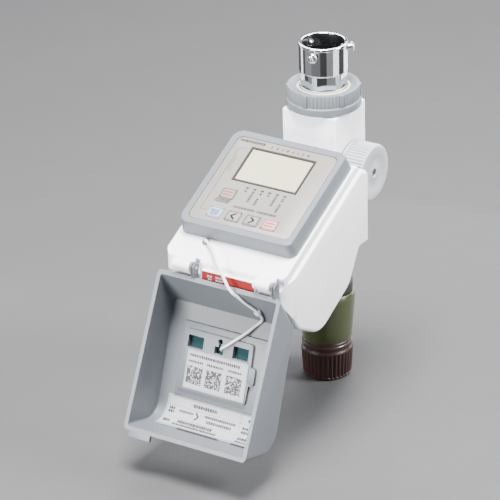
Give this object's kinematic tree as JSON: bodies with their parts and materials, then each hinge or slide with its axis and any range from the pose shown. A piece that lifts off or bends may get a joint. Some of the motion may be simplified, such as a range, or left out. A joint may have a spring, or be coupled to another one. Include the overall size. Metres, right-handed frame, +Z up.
{
  "type": "irrigation controller",
  "caption": "Tap-mounted watering timer: square valve column with clamp collar, side knob and hose coupler, sloping display head, and a solar lid hanging open on a hinge.",
  "frame": {"origin": "centre of the faucet collar's top rim, on the axis of the water column", "axes": "+Z up along the water column, +X to the right when facing the control panel, -Y out of the panel side"},
  "size_m": [0.0786, 0.1746, 0.205],
  "materials": {
    "casing_white": "moulded, satin white",
    "trim_grey": "moulded, satin light grey",
    "overlay_cream": "printed cream overlay",
    "chrome": "polished",
    "rubber_black": "soft black",
    "packing_cream": "cream engineering plastic",
    "coupler_green": "glossy olive green, slightly translucent",
    "nut_brown": "satin dark brown",
    "steel": "plain",
    "board_green": "coated board",
    "frame_dark": "dark brown-grey",
    "lcd_face": "pale display window",
    "solar_cell": "dark cells under a clear cover",
    "label_red": "printed film",
    "label_white": "printed film",
    "lead_white": "flexible sheath",
    "battery_sleeve": "shrink sleeve"
  },
  "bodies": {
    "housing": {"faucet_collar": "chrome", "faucet_packing": "rubber_black", "slip_ring": "packing_cream", "union_washer": "rubber_black", "inlet_strainer": "steel", "valve_column": "casing_white", "column_base": "casing_white", "inlet_pipe": "trim_grey", "outlet_pipe": "trim_grey", "seat_upper": "packing_cream", "seat_lower": "packing_cream", "stem_seal": "rubber_black", "gear_motor": "steel", "outlet_adapter": "casing_white", "outlet_seal": "rubber_black", "head_upper_shell": "casing_white", "head_lower_shell": "casing_white", "column_screw_upper": "steel", "column_screw_lower": "steel", "case_screw_left": "steel", "case_screw_right": "steel", "bezel": "trim_grey", "faceplate": "overlay_cream", "lcd_frame": "frame_dark", "lcd_panel": "lcd_face", "circuit_board": "board_green", "battery_holder": "frame_dark", "battery_front": "battery_sleeve", "battery_rear": "battery_sleeve", "cable_gland": "trim_grey", "caution_label": "label_red", "hinge_pin_left": "steel", "hinge_pin_right": "steel", "lid_cable": "lead_white"},
    "lid": {"lid_shell": "trim_grey", "solar_window": "solar_cell", "solar_board": "board_green", "solar_backplate": "trim_grey", "lid_label_upper": "label_white", "lid_label_lower": "label_white", "cable_clip": "lead_white"},
    "knob": {"manual_knob": "trim_grey", "knob_screw": "steel", "valve_stem": "steel", "stem_gear": "packing_cream", "valve_ball": "chrome"},
    "drive": {"drive_gear": "packing_cream"},
    "union": {"union_nut": "trim_grey"},
    "coupler": {"hose_coupler": "coupler_green", "hose_spigot": "coupler_green", "hose_collet": "packing_cream"},
    "nut": {"hose_nut": "nut_brown"},
    "screw_front": {"clamp_screw_front": "steel"},
    "screw_right": {"clamp_screw_right": "steel"},
    "screw_left": {"clamp_screw_left": "steel"},
    "button_mode": {"button_mode": "overlay_cream"},
    "button_back": {"button_back": "overlay_cream"},
    "button_left": {"button_left": "overlay_cream"},
    "button_right": {"button_right": "overlay_cream"},
    "button_set": {"button_set": "overlay_cream"}
  },
  "joints": [
    {"name": "lid_hinge", "type": "hinge", "parent": "housing", "child": "lid", "pos_m": [0, -0.11104, -0.09426], "axis": [-1, 0, 0], "range_deg": [0, 218], "deforming": ["lid_cable"]},
    {"name": "knob_turn", "type": "hinge", "parent": "housing", "child": "knob", "pos_m": [0.025, 0, -0.0727], "axis": [1, 0, 0], "range_deg": [0, 90]},
    {"name": "drive_spin", "type": "hinge", "parent": "housing", "child": "drive", "pos_m": [0.0133, -0.02421, -0.07706], "axis": [1, 0, 0], "range_deg": [-104.5, 0.5]},
    {"name": "union_nut_spin", "type": "hinge", "parent": "housing", "child": "union", "pos_m": [0, 0, -0.031], "axis": [0, 0, 1], "continuous": true},
    {"name": "coupler_swivel", "type": "hinge", "parent": "housing", "child": "coupler", "pos_m": [0, 0, -0.16], "axis": [0, 0, 1], "continuous": true},
    {"name": "hose_nut_spin", "type": "hinge", "parent": "coupler", "child": "nut", "pos_m": [0, 0, -0.19], "axis": [0, 0, 1], "continuous": true},
    {"name": "clamp_front", "type": "slide", "parent": "housing", "child": "screw_front", "axis": [-0.1392, 0.9903, 0], "range_m": [-0.003, 0.001]},
    {"name": "clamp_right", "type": "slide", "parent": "housing", "child": "screw_right", "axis": [-0.788, -0.6157, 0], "range_m": [-0.003, 0.001]},
    {"name": "clamp_left", "type": "slide", "parent": "housing", "child": "screw_left", "axis": [0.9272, -0.3746, 0], "range_m": [-0.003, 0.001]},
    {"name": "press_mode", "type": "slide", "parent": "housing", "child": "button_mode", "axis": [0, 0.4242, -0.9056], "range_m": [0, 0.0005], "stiffness_N_per_m": 300},
    {"name": "press_back", "type": "slide", "parent": "housing", "child": "button_back", "axis": [0, 0.4242, -0.9056], "range_m": [0, 0.0005], "stiffness_N_per_m": 300},
    {"name": "press_left", "type": "slide", "parent": "housing", "child": "button_left", "axis": [0, 0.4242, -0.9056], "range_m": [0, 0.0005], "stiffness_N_per_m": 300},
    {"name": "press_right", "type": "slide", "parent": "housing", "child": "button_right", "axis": [0, 0.4242, -0.9056], "range_m": [0, 0.0005], "stiffness_N_per_m": 300},
    {"name": "press_set", "type": "slide", "parent": "housing", "child": "button_set", "axis": [0, 0.4242, -0.9056], "range_m": [0, 0.0005], "stiffness_N_per_m": 300}
  ],
  "couplings": [
    {"joint": "drive_spin", "follows": "knob_turn", "ratio": -1.1579}
  ]
}
